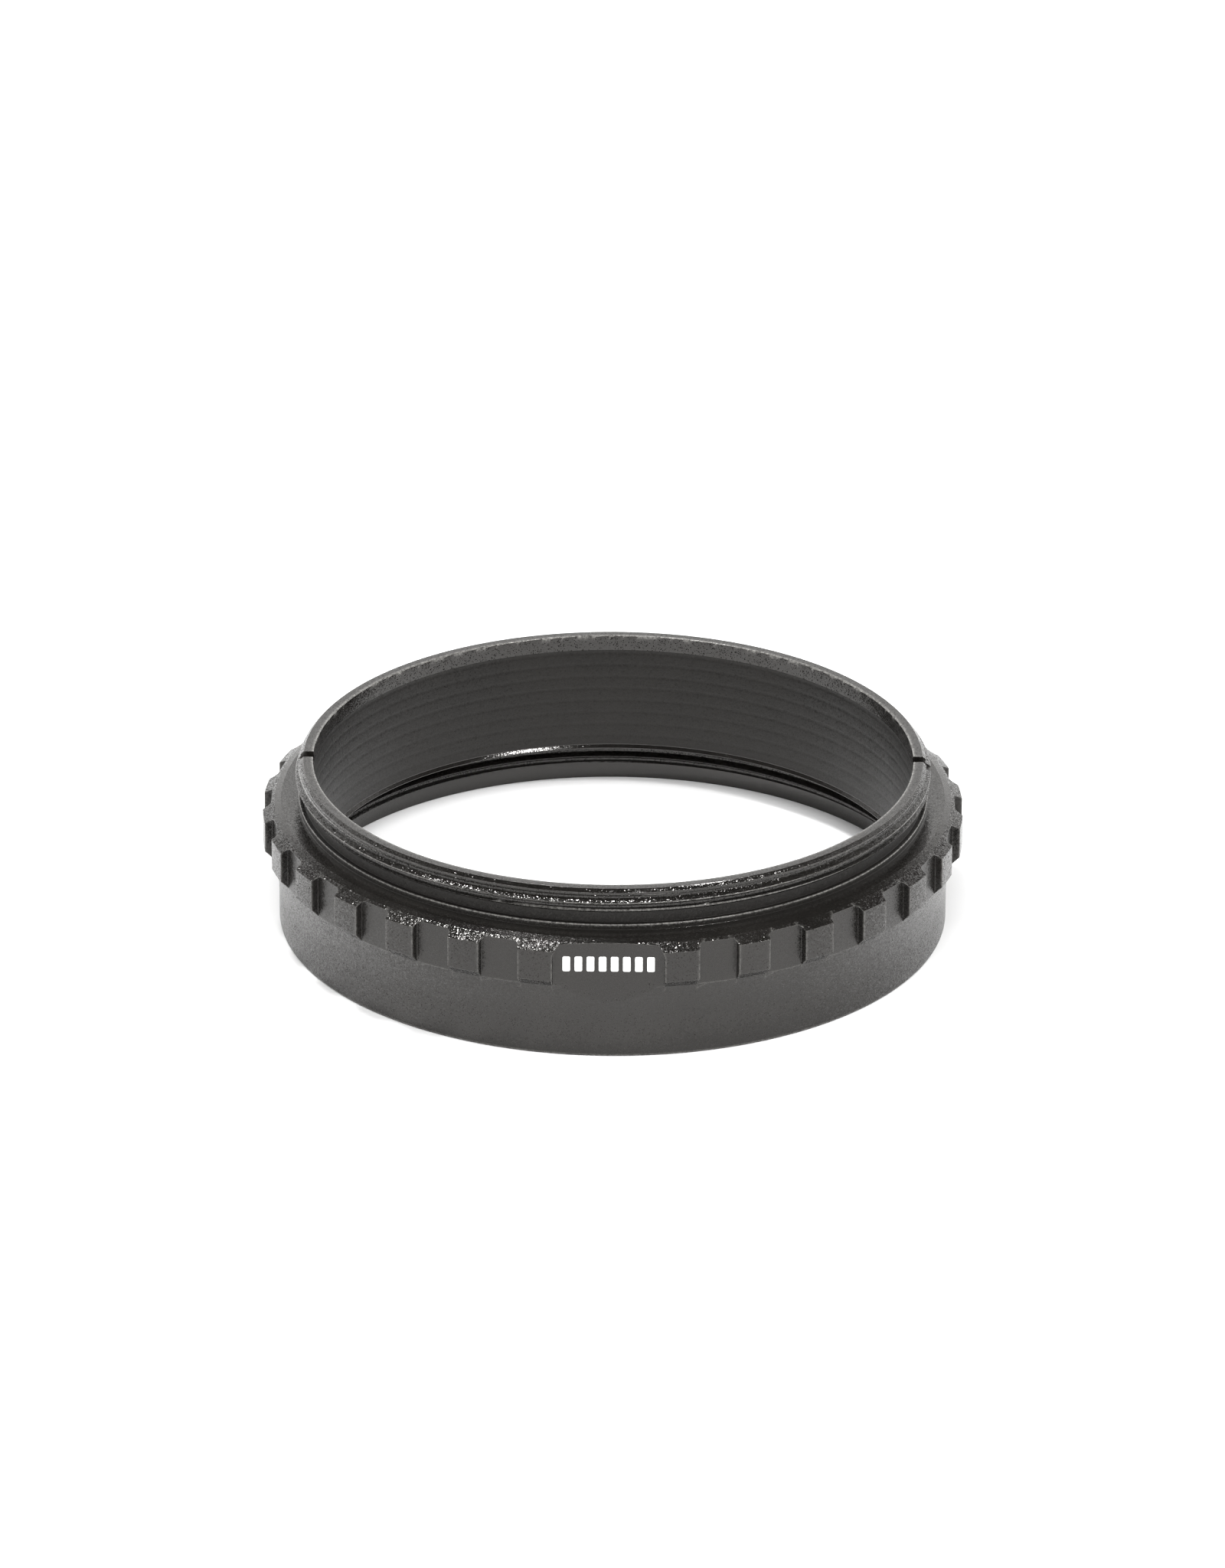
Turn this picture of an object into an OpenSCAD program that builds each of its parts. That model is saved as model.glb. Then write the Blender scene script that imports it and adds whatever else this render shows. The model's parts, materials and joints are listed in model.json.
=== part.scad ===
// Threaded extension ring for telescope accessories, M48 x 0.75 male above and female below.
// The ring's axis is Z, its bottom face lies at Z = 0 and its label flat faces -Y. Millimetres.

/* [Ring] */
// Outside diameter of the plain skirt
skirt_d = 50.6; // [50.3:0.1:50.8]
// Height from the bottom face to the top of the neck
overall_h = 12.8; // [12.6:0.1:14]
// Height of the seat that the next part's rim rests on
seat_z = 9.6; // [9.5:0.05:9.7]
// Outside diameter of the flat seat
seat_d = 50.2; // [50:0.1:50.6]
// Diameter of the clear bore
bore_d = 45.3; // [45.1:0.1:45.5]
// Width of the broken edge round the bottom of the skirt
edge_break = 0.15; // [0.05:0.05:0.3]

/* [Threads] */
// Nominal diameter of both threads
thread_d = 48; // [47.9:0.05:48.1]
// Pitch of both threads
pitch = 0.75; // [0.7:0.05:0.8]
// Diameter of the plain collar at the foot of the neck
collar_d = 47.6; // [47.4:0.1:47.8]
// Height of the collar above the seat
collar_h = 0.45; // [0.3:0.05:0.6]
// Diameter of the relief groove above the collar
relief_d = 46.8; // [46.6:0.1:47]
// Height of the relief groove
relief_h = 0.95; // [0.9:0.05:1.1]
// Wall left at the top of the neck, inside its chamfer
neck_rim_w = 0.75; // [0.65:0.05:0.8]
// Diameter of the plain pilot that leads into the male thread
pilot_d = 47.3; // [47.25:0.05:47.4]
// Height of that pilot, below its chamfer
pilot_h = 0.17; // [0.1:0.01:0.2]
// Depth of the threaded socket, from the bottom face to the bore
socket_depth = 3.3; // [3.2:0.1:3.6]
// Depth of the smooth counterbore at the socket's mouth
counterbore_depth = 1.45; // [1.3:0.05:1.5]
// Diameter of that counterbore
counterbore_d = 48.5; // [48.5:0.05:48.7]

/* [Grip] */
// Diameter over the grip lugs
lug_d = 53; // [52.6:0.1:53.4]
// How far the lugs stand above the recess floors
lug_proud = 0.65; // [0.5:0.05:0.75]
// Number of lug positions round the ring
lug_count = 30; // [28:2:32]
// Width of the milled recess between two lugs
recess_w = 3; // [2.6:0.1:3.2]
// Corner radius at the top of each recess
recess_corner_r = 0.5; // [0.3:0.1:0.8]
// Height of the lower edge of the lug faces
lug_foot_z = 6.5; // [6.2:0.1:6.8]
// Height of the taper that leads from the skirt out to the recess floors
taper_h = 2.6; // [1:0.1:3]
// Slope of the cone on top of the lugs, from the horizontal
cone_angle = 30; // [25:1:33]
// Width of the bright bevel between the seat and that cone
bevel_w = 0.5; // [0.3:0.05:0.6]
// Height of that bevel
bevel_h = 0.2; // [0.15:0.05:0.3]

/* [Label] */
// Width of the flat that carries the marking
label_w = 8.3; // [7.9:0.1:8.4]
// Distance from the ring's axis to that flat
label_distance = 25.6; // [25.5:0.05:25.7]
// Corner radius at the top of the flat
label_corner_r = 1.1; // [0.6:0.1:1.5]
// Number of plain bars in the marking
bar_count = 8; // [4:1:10]
// Length of the row of bars
bar_row_w = 6.8; // [5:0.1:7]
// Height of one bar
bar_h = 1.2; // [0.8:0.05:2]
// Height of the middle of the bars above the bottom face
bar_z = 7.7; // [7.3:0.05:7.8]
// Thickness of the print
ink_t = 0.04; // [0.02:0.01:0.1]

/* [Details] */
// Width of the two spanner slots in the top of the neck
slot_w = 1; // [0.8:0.1:1.5]
// Depth of those slots
slot_depth = 0.8; // [0.5:0.1:1.2]
// Number of baffle grooves inside the bore
groove_count = 8; // [0:1:8]
// Distance from one baffle groove to the next
groove_pitch = 1; // [0.9:0.05:1]
// Depth of a baffle groove
groove_depth = 0.03; // [0.03:0.01:0.2]
// Height of the lowest baffle groove
groove_z = 4.35; // [4.2:0.05:4.5]

/* [Hidden] */
$fn = 180;

skirt_r = skirt_d / 2;
seat_r = seat_d / 2;
bore_r = bore_d / 2;
thread_r = thread_d / 2;
collar_r = collar_d / 2;
relief_r = relief_d / 2;
pilot_r = pilot_d / 2;
counterbore_r = counterbore_d / 2;
lug_r = lug_d / 2;

// An ISO thread's flanks lie at 60 degrees to each other, and its depth is 5/8 of the sharp height.
flank_angle = 30;
thread_depth = 5 / 8 * pitch * cos(flank_angle);
crest_flat = pitch / 8;
socket_r = thread_r - thread_depth;
// Height of the lowest groove of each thread above the thread's own start, in pitches.
first_male_groove = 0.58;
first_female_groove = 0.55;
// How far a groove's cutter stands clear of the crests.
clearance = 0.06;

floor_r = lug_r - lug_proud;
foot_z = lug_foot_z - lug_proud;
rim_r = seat_r + bevel_w;
rim_z = seat_z - bevel_h;
lug_top_z = rim_z - (lug_r - rim_r) * tan(cone_angle);
floor_top_z = rim_z - (floor_r - rim_r) * tan(cone_angle);

collar_z = seat_z + collar_h;
thread_z = collar_z + relief_h;
neck_rim_r = bore_r + neck_rim_w;
pilot_top_z = overall_h - (pilot_r - neck_rim_r);
pilot_z = pilot_top_z - pilot_h;
// Chamfer between the socket's shoulder and the bore.
bore_break = 0.15;

position_angle = 360 / lug_count;
// The milling cuts reach outwards past the lugs, and start beside the skirt, where they only touch air.
cutter_reach = 3;
cutter_start_z = foot_z - taper_h - 1;

// Each bar takes this share of the distance from one bar to the next.
bar_share = 0.64;
bar_pitch = bar_row_w / (bar_count - 1 + bar_share);
bar_w = bar_share * bar_pitch;

// Half-section of the turned blank, anticlockwise from the counterbore's mouth.
function blank_section() = [
    [counterbore_r, 0],
    [skirt_r - edge_break, 0],
    [skirt_r, edge_break],
    [skirt_r, foot_z - taper_h],
    [floor_r, foot_z],
    [lug_r, lug_foot_z],
    [lug_r, lug_top_z],
    [rim_r, rim_z],
    [seat_r, seat_z],
    [collar_r, seat_z],
    [collar_r, collar_z],
    [relief_r, collar_z],
    [relief_r, thread_z],
    [thread_r, thread_z],
    [thread_r, pilot_z - (thread_r - pilot_r)],
    [pilot_r, pilot_z],
    [pilot_r, pilot_top_z],
    [neck_rim_r, overall_h],
    [bore_r, overall_h],
    [bore_r, socket_depth + bore_break],
    [bore_r + bore_break, socket_depth],
    [socket_r, socket_depth],
    [socket_r, counterbore_depth],
    [counterbore_r, counterbore_depth]
];

// Ring-shaped cut with sloping sides: its floor lies at floor_at and its mouth at mouth_at.
// Seen in section it is floor_w wide at the floor, and each side spreads by side_run to the mouth.
module ring_cut(floor_at, mouth_at, z, floor_w, side_run) {
    rotate_extrude()
        polygon([
            [floor_at, z - floor_w / 2],
            [floor_at, z + floor_w / 2],
            [mouth_at, z + floor_w / 2 + side_run],
            [mouth_at, z - floor_w / 2 - side_run]
        ]);
}

// One groove of the male thread, open outwards.
module male_thread_groove(z) {
    side_run = (thread_depth + clearance) * tan(flank_angle);
    ring_cut(socket_r, thread_r + clearance, z, 2 * crest_flat, side_run);
}

// One groove of the female thread, open inwards.
module female_thread_groove(z) {
    side_run = (thread_depth + clearance) * tan(flank_angle);
    ring_cut(thread_r, socket_r - clearance, z, crest_flat, side_run);
}

// Both threads as plain rings one pitch apart, which keeps their crests true cylinders.
module thread_grooves() {
    male_count = round((overall_h - thread_z) / pitch - first_male_groove);
    for (i = [0 : male_count - 1])
        male_thread_groove(thread_z + pitch * (first_male_groove + i));

    female_count = floor((socket_depth - counterbore_depth) / pitch);
    for (i = [0 : female_count - 1])
        female_thread_groove(counterbore_depth + pitch * (first_female_groove + i));
}

// Fine grooves inside the bore that stop stray light.
module baffle_grooves() {
    for (i = [0 : 1 : groove_count - 1])
        ring_cut(bore_r + groove_depth, bore_r - groove_depth, groove_z + i * groove_pitch,
                 groove_depth / 2, groove_depth);
}

// Flat upright shape, centred on X, from z = 0 up to height h, with its two top corners rounded.
module round_topped(w, h, corner_r) {
    translate([-w / 2, 0])
        square([w, h - corner_r]);
    translate([-w / 2 + corner_r, 0])
        square([w - 2 * corner_r, h]);
    for (side = [-1, 1])
        translate([side * (w / 2 - corner_r), h - corner_r])
            circle(r = corner_r);
}

// Milled cut that leaves a flat face, square to -Y, at a distance from the axis.
module flat_cut(distance, w, top_z, corner_r) {
    translate([0, -distance, cutter_start_z])
        rotate([90, 0, 0])
            linear_extrude(height = cutter_reach)
                round_topped(w, top_z - cutter_start_z, corner_r);
}

// Recesses between the lugs. The two beside the label run into its flat, so they are left out.
module grip_recesses() {
    for (i = [1 : lug_count - 2])
        rotate([0, 0, (i + 0.5) * position_angle])
            flat_cut(floor_r, recess_w, floor_top_z, recess_corner_r);
}

// Flat for the marking, in place of one lug and the recesses on both sides of it.
module label_flat() {
    flat_cut(label_distance, label_w, rim_z, label_corner_r);
}

// Two slots across the top of the neck, for a pin spanner.
module spanner_slots() {
    translate([-thread_r - 1, -slot_w / 2, overall_h - slot_depth])
        cube([2 * thread_r + 2, slot_w, slot_depth + 1]);
}

module ring_body() {
    color([0.13, 0.13, 0.13])
        difference() {
            rotate_extrude()
                polygon(blank_section());
            thread_grooves();
            baffle_grooves();
            grip_recesses();
            label_flat();
            spanner_slots();
        }
}

// Row of plain bars printed on the label flat.
module white_marking() {
    color([0.95, 0.95, 0.95])
        for (i = [0 : bar_count - 1])
            translate([(i - (bar_count - 1) / 2) * bar_pitch - bar_w / 2,
                       -label_distance - ink_t,
                       bar_z - bar_h / 2])
                cube([bar_w, ink_t, bar_h]);
}

ring_body();
white_marking();
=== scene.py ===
import json
import math

import bpy
import numpy as np
from mathutils import Matrix, Vector


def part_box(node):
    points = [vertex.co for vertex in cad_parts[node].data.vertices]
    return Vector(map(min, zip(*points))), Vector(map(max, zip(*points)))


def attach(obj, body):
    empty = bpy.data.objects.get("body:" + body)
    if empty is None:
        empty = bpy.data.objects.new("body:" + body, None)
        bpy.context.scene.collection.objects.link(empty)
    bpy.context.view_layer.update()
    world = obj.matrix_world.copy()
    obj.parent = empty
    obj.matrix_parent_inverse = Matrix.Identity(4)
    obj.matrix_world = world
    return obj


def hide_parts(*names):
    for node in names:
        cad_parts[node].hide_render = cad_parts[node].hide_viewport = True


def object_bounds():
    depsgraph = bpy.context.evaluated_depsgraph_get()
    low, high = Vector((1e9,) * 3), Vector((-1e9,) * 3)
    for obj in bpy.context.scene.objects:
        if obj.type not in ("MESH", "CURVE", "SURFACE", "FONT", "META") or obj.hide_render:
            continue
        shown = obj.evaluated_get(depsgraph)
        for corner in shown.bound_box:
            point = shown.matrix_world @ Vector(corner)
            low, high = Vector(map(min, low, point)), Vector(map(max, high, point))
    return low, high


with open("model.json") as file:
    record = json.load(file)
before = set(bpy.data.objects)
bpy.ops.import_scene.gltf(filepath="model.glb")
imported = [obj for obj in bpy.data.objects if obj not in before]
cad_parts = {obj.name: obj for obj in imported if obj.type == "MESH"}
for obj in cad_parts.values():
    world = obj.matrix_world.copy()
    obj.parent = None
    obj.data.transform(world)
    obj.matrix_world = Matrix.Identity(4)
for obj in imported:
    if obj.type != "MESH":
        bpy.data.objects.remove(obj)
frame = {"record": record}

cad_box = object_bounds()

# Telescope extension ring, black anodised, M48 x 0.75. The ring's axis is Z, its bottom face lies at Z = 0
# and its label flat faces -Y. Lengths in this script are in millimetres until they reach a mesh.
MM = 0.001


# ---------------------------------------------------------------- dimensions taken from the frame

MOUNTS = {m["name"]: m for m in frame["record"]["mounts"]}
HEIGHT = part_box("ring_body")[1].z / MM
SEAT_Z = MOUNTS["seat"]["pos_m"][2] / MM
BORE_R = MOUNTS["clear_bore"]["dims"]["r_mm"]
THREAD_R = MOUNTS["male_thread"]["dims"]["r_mm"]
SOCKET_R = MOUNTS["female_thread"]["dims"]["r_mm"]
COUNTERBORE_R = MOUNTS["socket_counterbore"]["dims"]["r_mm"]
COUNTERBORE_DEPTH = MOUNTS["socket_counterbore"]["dims"]["length_mm"]
SOCKET_DEPTH = COUNTERBORE_DEPTH + MOUNTS["female_thread"]["dims"]["length_mm"]

# ---------------------------------------------------------------- ring dimensions

SKIRT_R = 25.3
SEAT_R = 25.1
BEVEL_W = 0.5
BEVEL_H = 0.2
COLLAR_R = 23.8
COLLAR_H = 0.45
RELIEF_R = 23.4
RELIEF_H = 0.95
PILOT_R = 23.65
PILOT_H = 0.17
NECK_RIM_W = 0.75
LUG_R = 26.5
LUG_PROUD = 0.65
LUG_FOOT_Z = 6.5
TAPER_H = 2.6
TAPER_BLEND_R = 8
CONE_SLOPE = math.tan(math.radians(30))

FLOOR_R = LUG_R - LUG_PROUD
FOOT_Z = LUG_FOOT_Z - LUG_PROUD
TAPER_Z = FOOT_Z - TAPER_H
RIM_R = SEAT_R + BEVEL_W
RIM_Z = SEAT_Z - BEVEL_H
LUG_TOP_Z = RIM_Z - (LUG_R - RIM_R) * CONE_SLOPE
COLLAR_Z = SEAT_Z + COLLAR_H
THREAD_Z = COLLAR_Z + RELIEF_H
NECK_RIM_R = BORE_R + NECK_RIM_W
PILOT_TOP_Z = HEIGHT - (PILOT_R - NECK_RIM_R)
PILOT_Z = PILOT_TOP_Z - PILOT_H

LUG_COUNT = 30
RECESS_HALF_W = 1.5
RECESS_CORNER_R = 0.5
LABEL_HALF_W = 4.15
LABEL_CORNER_R = 1.1
LABEL_DISTANCE = 25.6

PITCH = 0.75
THREAD_DEPTH = THREAD_R - SOCKET_R
# Each flank leans 30 degrees, and so takes up this much of the pitch.
FLANK_RUN = THREAD_DEPTH * math.tan(math.radians(30))
# Heights at which the threads have a crest in the middle of the label's side.
MALE_CREST_Z = THREAD_Z + 0.06
FEMALE_CREST_Z = COUNTERBORE_DEPTH + 0.255
# Depth of the chamfer at the mouth of the female thread.
LEAD_IN = 0.25
# From this height up the female thread has run out into an undercut, whose side slopes over the height below.
RUNOUT_Z = SOCKET_DEPTH - PITCH
RUNOUT_H = 0.2
# The bore ends in a small lip that slopes inwards at 45 degrees, with a narrow land above and below it.
LIP = 0.2
LIP_LAND = 0.05
LIP_Z = SOCKET_DEPTH + LIP_LAND
BORE_END_Z = LIP_Z + LIP + LIP_LAND

SLOT_W = 1.0
SLOT_DEPTH = 0.8
BAR_COUNT = 8
# Each bar takes this share of the distance from one bar to the next.
BAR_SHARE = 0.64

GROOVE_COUNT = 8
GROOVE_PITCH = 1.0
GROOVE_Z = 4.35
GROOVE_DEPTH = 0.02
GROOVE_HALF_W = 0.24

# Radii of the broken edges and of the rounded corners
SKIRT_EDGE = 0.15
BORE_EDGE = 0.1
SOFT_EDGE = 0.08
EDGE = 0.06
TOP_EDGE = 0.05
SMALL_EDGE = 0.05
FINE_EDGE = 0.03
LUG_EDGE = 0.07
FLOOR_EDGE = 0.1
# The top face of the neck lies inside its broken edge, which starts at this height.
TOP_EDGE_Z = HEIGHT - TOP_EDGE
# Each rounded corner is made of this many chords.
ROUNDING_STEPS = 3


# ---------------------------------------------------------------- profile of the turned blank

def rounded(corners):
    """Points of a path in (r, z) whose corners (r, z, radius) are rounded; radius 0 keeps a corner sharp."""
    points = []
    for i, (r, z, radius) in enumerate(corners):
        here = np.array([r, z])
        if radius == 0 or i in (0, len(corners) - 1):
            points.append(here)
            continue
        before = np.array(corners[i - 1][:2]) - here
        after = np.array(corners[i + 1][:2]) - here
        before /= np.linalg.norm(before)
        after /= np.linalg.norm(after)
        half = math.acos(np.clip(before @ after, -1, 1)) / 2
        reach = radius / math.tan(half)
        centre = here + (before + after) / np.linalg.norm(before + after) * radius / math.sin(half)
        start = here + before * reach - centre
        end = here + after * reach - centre
        turn = math.pi - 2 * half
        for k in range(ROUNDING_STEPS + 1):
            t = k / ROUNDING_STEPS
            weight_start = math.sin((1 - t) * turn) / math.sin(turn)
            weight_end = math.sin(t * turn) / math.sin(turn)
            points.append(centre + start * weight_start + end * weight_end)
    return np.array(points)


def outer_profile():
    """The blank's outside from the skirt's lower edge up to the rim, where z always rises."""
    return rounded([
        (SKIRT_R - 2 * SKIRT_EDGE, 0.0, 0),
        (SKIRT_R, 0.0, SKIRT_EDGE),
        (SKIRT_R, TAPER_Z, TAPER_BLEND_R),
        (FLOOR_R, FOOT_Z, 0),
        (LUG_R, LUG_FOOT_Z, LUG_EDGE),
        (LUG_R, LUG_TOP_Z, LUG_EDGE),
        (RIM_R, RIM_Z, EDGE / 2),
        (SEAT_R, SEAT_Z, 0),
    ])[1:-1]


OUTER = outer_profile()


def cone_z(r):
    """Height of the cone on top of the lugs at radius r."""
    return RIM_Z - (r - RIM_R) * CONE_SLOPE


def base_levels():
    """Heights of the outside's rows that every column has: the profile's own, and more between them."""
    label_corner_z = RIM_Z - LABEL_CORNER_R
    skirt = np.linspace(0.4, TAPER_Z - 1.2, 4)
    taper = np.linspace(TAPER_Z + 1.2, FOOT_Z - 0.3, 3)
    face = [LUG_FOOT_Z - 0.3, LUG_FOOT_Z + 0.6, LUG_FOOT_Z + 1.2, label_corner_z - 0.02]
    corner = np.linspace(label_corner_z + 0.12, LUG_TOP_Z - 0.06, 5)
    cone = np.linspace(LUG_TOP_Z + 0.08, cone_z(FLOOR_R) - 0.07, 5)
    return np.concatenate([OUTER[:, 1], skirt, taper, face, corner, cone])


BASE_LEVELS = base_levels()


# ---------------------------------------------------------------- milled cuts and their columns

# A flat blends into the blank's surface within about this depth, rather than in a hard crease.
CREASE = 0.02
# A flat that would lie less deep than this is taken as not cut at all.
LEAST_DEPTH = 0.001
# The roundings at the top and at the foot of a cut's wall each take at most this share of its depth.
WALL_SHARE = 0.4
# Distance between the rows that follow a crease, and the least distance from such a row to the rim.
CREASE_ROWS = 0.018
RIM_CLEARANCE = 0.045
# The upper crease is found by this many steps from the flat to the cone and back.
CREASE_SEARCHES = 8


class Cut:
    """A flat milled into the outside, and the sector of the ring that it lies in the middle of."""

    def __init__(self, centre_deg, half_span_deg, half_w, distance, top_z, corner_r, floor_steps, land_steps):
        self.centre = math.radians(centre_deg)
        self.half_span = math.radians(half_span_deg)
        self.half_w = half_w
        self.distance = distance
        self.top_z = top_z
        self.corner_r = corner_r
        self.floor_steps = floor_steps
        self.land_steps = land_steps

    def half_width(self, z):
        """Half the cut's width at height z: it narrows where the two top corners are rounded."""
        over = np.clip(z - (self.top_z - self.corner_r), 0, self.corner_r)
        return self.half_w - self.corner_r + np.sqrt(self.corner_r ** 2 - over ** 2)

    def depth(self, r, x):
        """How far the flat lies below the blank's surface of radius r, at a distance x from its middle."""
        above = np.sqrt(r ** 2 - x ** 2) - self.distance
        depth = (above + np.sqrt(above ** 2 + CREASE ** 2)) / 2
        return np.where(depth < LEAST_DEPTH, 0, depth)

    def columns(self):
        """The sector's columns from left to right, each as (kind, side or share, step)."""
        land = np.arange(1, self.land_steps + 1) / self.land_steps
        arc = [0, math.pi / 4, math.pi / 2]
        left = [("land", -1, t) for t in land[-2::-1]]
        left += [("edge", -1, t) for t in arc]
        left += [("foot", -1, t) for t in arc]
        floor = np.linspace(-1, 1, self.floor_steps + 1)[1:-1]
        right = [("foot", 1, t) for t in arc[::-1]]
        right += [("edge", 1, t) for t in arc[::-1]]
        right += [("land", 1, t) for t in land]
        return left + [("floor", s, 0) for s in floor] + right

    def place(self, column, r, z):
        """Angle and radius of a column's points on rows with the blank's radius r and height z."""
        kind, side, t = column
        w = self.half_width(z)
        wall = self.depth(r, w)
        edge = np.minimum(LUG_EDGE, WALL_SHARE * wall)
        foot = np.minimum(FLOOR_EDGE, WALL_SHARE * wall)
        sunk = 0 * z
        if kind == "floor":
            x = side * (w - foot)
            sunk = self.depth(r, x)
        elif kind == "foot":
            x = side * (w - foot * (1 - math.cos(t)))
            sunk = self.depth(r, x) - foot * (1 - math.sin(t))
        elif kind == "edge":
            x = side * (w + edge * (1 - math.sin(t)))
            sunk = edge * (1 - math.cos(t))
        else:
            x = w + edge
        y = np.sqrt(r ** 2 - x ** 2) - sunk
        angle = np.arctan2(x, y)
        if kind == "land":
            angle = side * (angle + (self.half_span - angle) * t)
            return angle, r
        return angle, np.hypot(x, y)

    def crease_levels(self, column):
        """Heights of the rows that follow the flat's lower and upper edge in this column."""
        kind, side, _ = column
        share = abs(side) if kind == "floor" else 1
        high = cone_z(self.distance)
        for _ in range(CREASE_SEARCHES):
            x = share * self.half_width(high)
            high = cone_z(math.hypot(self.distance, x))
        high = min(high, RIM_Z - RIM_CLEARANCE)
        x = share * self.half_w
        reach = math.hypot(self.distance, x)
        if reach > FLOOR_R:
            low = FOOT_Z + reach - FLOOR_R
        else:
            low = FOOT_Z - (FLOOR_R - reach) * (FOOT_Z - TAPER_Z) / (FLOOR_R - SKIRT_R)
        return [low - CREASE_ROWS, low, low + CREASE_ROWS, high - CREASE_ROWS, high, high + CREASE_ROWS / 2]


def sectors():
    """The label's sector, then the grip recesses from there round the ring."""
    step = 360 / LUG_COUNT
    label = Cut(centre_deg=0, half_span_deg=step, half_w=LABEL_HALF_W, distance=LABEL_DISTANCE,
                top_z=RIM_Z, corner_r=LABEL_CORNER_R, floor_steps=14, land_steps=4)
    recess = dict(half_span_deg=step / 2, half_w=RECESS_HALF_W, distance=FLOOR_R,
                  top_z=cone_z(FLOOR_R), corner_r=RECESS_CORNER_R, floor_steps=4, land_steps=2)
    return [label] + [Cut(centre_deg=(i + 0.5) * step, **recess) for i in range(1, LUG_COUNT - 1)]


# ---------------------------------------------------------------- threads

CREST_HALF = PITCH / 16
# From the middle of a crest to its groove: distance along the axis and depth, with both corners eased.
THREAD_SHAPE = np.array([
    (0.3 * CREST_HALF, 0),
    (CREST_HALF + 0.012, 0.03),
    (CREST_HALF + FLANK_RUN - 0.03, THREAD_DEPTH - 0.035),
    (CREST_HALF + FLANK_RUN + 0.02, THREAD_DEPTH),
])
ROWS_PER_TURN = 2 * len(THREAD_SHAPE)
# Turns laid past each end of a thread, so that all columns have the same number of rows.
SPARE_TURNS = 3


def helix_levels(angle, low, high, crest_z, fixed):
    """Heights of one column's rows in a thread: they follow the right-hand helix and stop at its ends."""
    first = math.floor((low - crest_z) / PITCH) - SPARE_TURNS
    last = math.ceil((high - crest_z) / PITCH) + SPARE_TURNS
    crests = crest_z + PITCH * (np.arange(first, last) + angle / (2 * math.pi))
    offsets = np.concatenate([-THREAD_SHAPE[:, 0], THREAD_SHAPE[:, 0]])
    levels = np.concatenate([(crests[:, None] + offsets).ravel(), fixed])
    return np.sort(np.clip(levels, low, high))


def helix_depth(angle, z, crest_z):
    """Depth of the thread below its crests at an angle and heights z."""
    phase = (z - crest_z - PITCH * angle / (2 * math.pi)) / PITCH
    away = np.abs(phase - np.round(phase)) * PITCH
    return np.interp(away, THREAD_SHAPE[:, 0], THREAD_SHAPE[:, 1])


def neck_envelope():
    """The outline that the male thread is cut into: a chamfer at both ends, and a plain pilot at the top."""
    chamfer = THREAD_R - PILOT_R
    return rounded([
        (PILOT_R, THREAD_Z, 0),
        (THREAD_R, THREAD_Z + chamfer, 0),
        (THREAD_R, PILOT_Z - chamfer, 0),
        (PILOT_R, PILOT_Z, FINE_EDGE),
        (PILOT_R, PILOT_TOP_Z, SMALL_EDGE),
        (NECK_RIM_R + TOP_EDGE, TOP_EDGE_Z, 0),
    ])


def male_thread(angle):
    """Rows of the male thread, from the relief groove up to the edge of the neck's top face."""
    outline = neck_envelope()
    between = np.linspace(THREAD_Z, TOP_EDGE_Z, 14)
    fixed = np.concatenate([outline[:, 1], between])
    z = helix_levels(angle, THREAD_Z, TOP_EDGE_Z, MALE_CREST_Z, fixed)
    r = THREAD_R - helix_depth(angle, z, MALE_CREST_Z)
    return np.minimum(r, np.interp(z, outline[:, 1], outline[:, 0])), z


def female_thread(angle):
    """Rows of the female thread from the undercut below the shoulder down to the counterbore."""
    runout_rows = np.linspace(RUNOUT_Z, RUNOUT_Z - RUNOUT_H, 3)
    lead_in_rows = COUNTERBORE_DEPTH + np.array([0.08, 0.16, LEAD_IN])
    fixed = np.concatenate([runout_rows, lead_in_rows])
    z = helix_levels(angle, COUNTERBORE_DEPTH, SOCKET_DEPTH, FEMALE_CREST_Z, fixed)[::-1]
    r = SOCKET_R + helix_depth(angle, z, FEMALE_CREST_Z)
    lead_in = SOCKET_R + LEAD_IN - (z - COUNTERBORE_DEPTH)
    runout = np.interp(z, [RUNOUT_Z - RUNOUT_H, RUNOUT_Z], [SOCKET_R, THREAD_R])
    return np.maximum(np.maximum(r, lead_in), runout), z


# ---------------------------------------------------------------- ring mesh

BLASTED, MILLED, TURNED, THREADED, BORED = range(5)
# The outside counts as milled from this depth below the blank's surface.
MILLED_DEPTH = 0.02
# Points that agree to this length, in metres, are one point.
WELD = 1e-8
# A row this far in on the seat ends the wear and painted edge highlight of its outer edge.
SEAT_ROW = 0.46


def face_finish(corners):
    """A face's finish from those of its corners. Where they differ it is turned, or blasted beside a cut."""
    kinds = set(corners)
    if len(kinds) == 1:
        return kinds.pop()
    return BLASTED if kinds == {BLASTED, MILLED} else TURNED


def bottom_rows():
    """From the counterbore's mouth out to the skirt's lower edge."""
    return rounded([
        (COUNTERBORE_R, COUNTERBORE_DEPTH, 0),
        (COUNTERBORE_R, 0.0, SOFT_EDGE),
        (SKIRT_R - SKIRT_EDGE, 0.0, 0),
    ])[1:-1]


def seat_rows():
    """The edge between the bevel and the seat."""
    return rounded([
        (RIM_R, RIM_Z, 0),
        (SEAT_R, SEAT_Z, EDGE),
        (COLLAR_R, SEAT_Z, 0),
    ])[1:-1]


def collar_rows():
    """In across the seat and up over the collar."""
    return rounded([
        (SEAT_R - SEAT_ROW, SEAT_Z, 0),
        (COLLAR_R, SEAT_Z, FINE_EDGE),
        (COLLAR_R, COLLAR_Z, SMALL_EDGE),
        (RELIEF_R, COLLAR_Z, 0),
    ])[:-1]


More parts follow.
